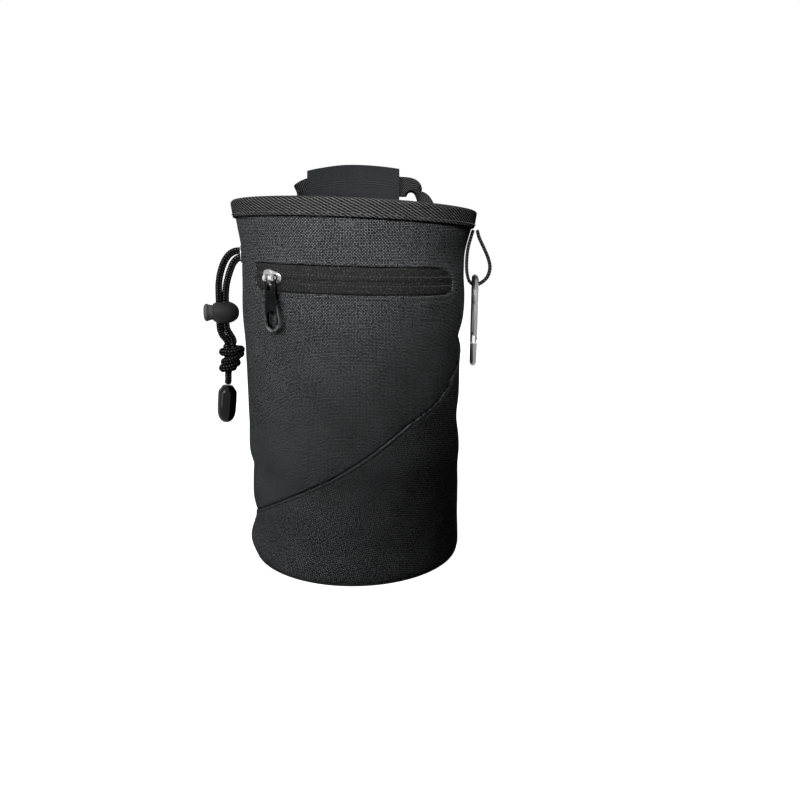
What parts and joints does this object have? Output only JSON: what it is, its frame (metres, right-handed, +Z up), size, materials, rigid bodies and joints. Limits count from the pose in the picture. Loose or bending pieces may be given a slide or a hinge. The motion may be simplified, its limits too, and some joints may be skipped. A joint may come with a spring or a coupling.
{
  "type": "climbing chalk bag",
  "caption": "Cylindrical cloth chalk bag with a bound open mouth, a front zip pocket, a drawcord with a spring lock, a carry strap and a side carabiner.",
  "frame": {"origin": "middle of the base's flat underside, where the bag stands", "axes": "+Z up through the open mouth, -Y towards the front with the zip pocket, +X towards the side loop and its carabiner"},
  "size_m": [0.1521, 0.1336, 0.2161],
  "materials": {
    "shell_cloth": "plain weave nylon, matt",
    "binding_webbing": "herringbone webbing, matt",
    "zip_tape": "woven tape, matt",
    "zip_metal": "polished nickel",
    "pull_metal": "glossy gunmetal",
    "nickel": "polished nickel",
    "cord": "braided cord, matt",
    "lock_plastic": "satin moulded plastic",
    "cord_end_plastic": "glossy moulded plastic",
    "strap_webbing": "woven webbing, matt",
    "sleeve_cloth": "smooth cloth, matt",
    "carabiner_metal": "polished"
  },
  "bodies": {
    "bag": {"front_upper_panel": "shell_cloth", "front_lower_panel": "shell_cloth", "back_panel": "shell_cloth", "base_disc": "shell_cloth", "rim_binding": "binding_webbing", "zip_tape_upper": "zip_tape", "zip_tape_lower": "zip_tape", "zip_slider": "zip_metal", "eyelet": "nickel", "drawcord_outer_strand": "cord", "drawcord_inner_strand": "cord", "drawcord_tail": "cord", "drawcord_knot": "cord", "cord_lock_barrel": "lock_plastic", "cord_end": "cord_end_plastic", "side_loop": "strap_webbing", "carry_strap": "strap_webbing", "strap_sleeve": "sleeve_cloth"},
    "zip_pull": {"zip_pull": "pull_metal"},
    "carabiner": {"carabiner_frame": "carabiner_metal"},
    "carabiner_gate": {"carabiner_gate": "carabiner_metal"},
    "cord_lock_button": {"cord_lock_button": "lock_plastic"}
  },
  "joints": [
    {"name": "zip_pull_swing", "type": "hinge", "parent": "bag", "child": "zip_pull", "pos_m": [-0.04031, -0.04775, 0.15391], "axis": [-0.7431, 0.6691, 0], "range_deg": [0, 165]},
    {"name": "carabiner_swing", "type": "hinge", "parent": "bag", "child": "carabiner", "pos_m": [0.06343, -0.00891, 0.15303], "axis": [-0.1564, -0.9877, 0], "range_deg": [-2, 60]},
    {"name": "carabiner_gate_hinge", "type": "hinge", "parent": "carabiner", "child": "carabiner_gate", "pos_m": [0.06185, -0.01889, 0.12143], "axis": [-0.9877, 0.1564, 0], "range_deg": [0, 28], "stiffness_Nm_per_rad": 0.02, "springref_deg": -17.19},
    {"name": "cord_lock_button_slide", "type": "slide", "parent": "bag", "child": "cord_lock_button", "axis": [0.9903, 0.1392, 0], "range_m": [0, 0.0025], "stiffness_N_per_m": 300, "springref_m": -0.004}
  ]
}
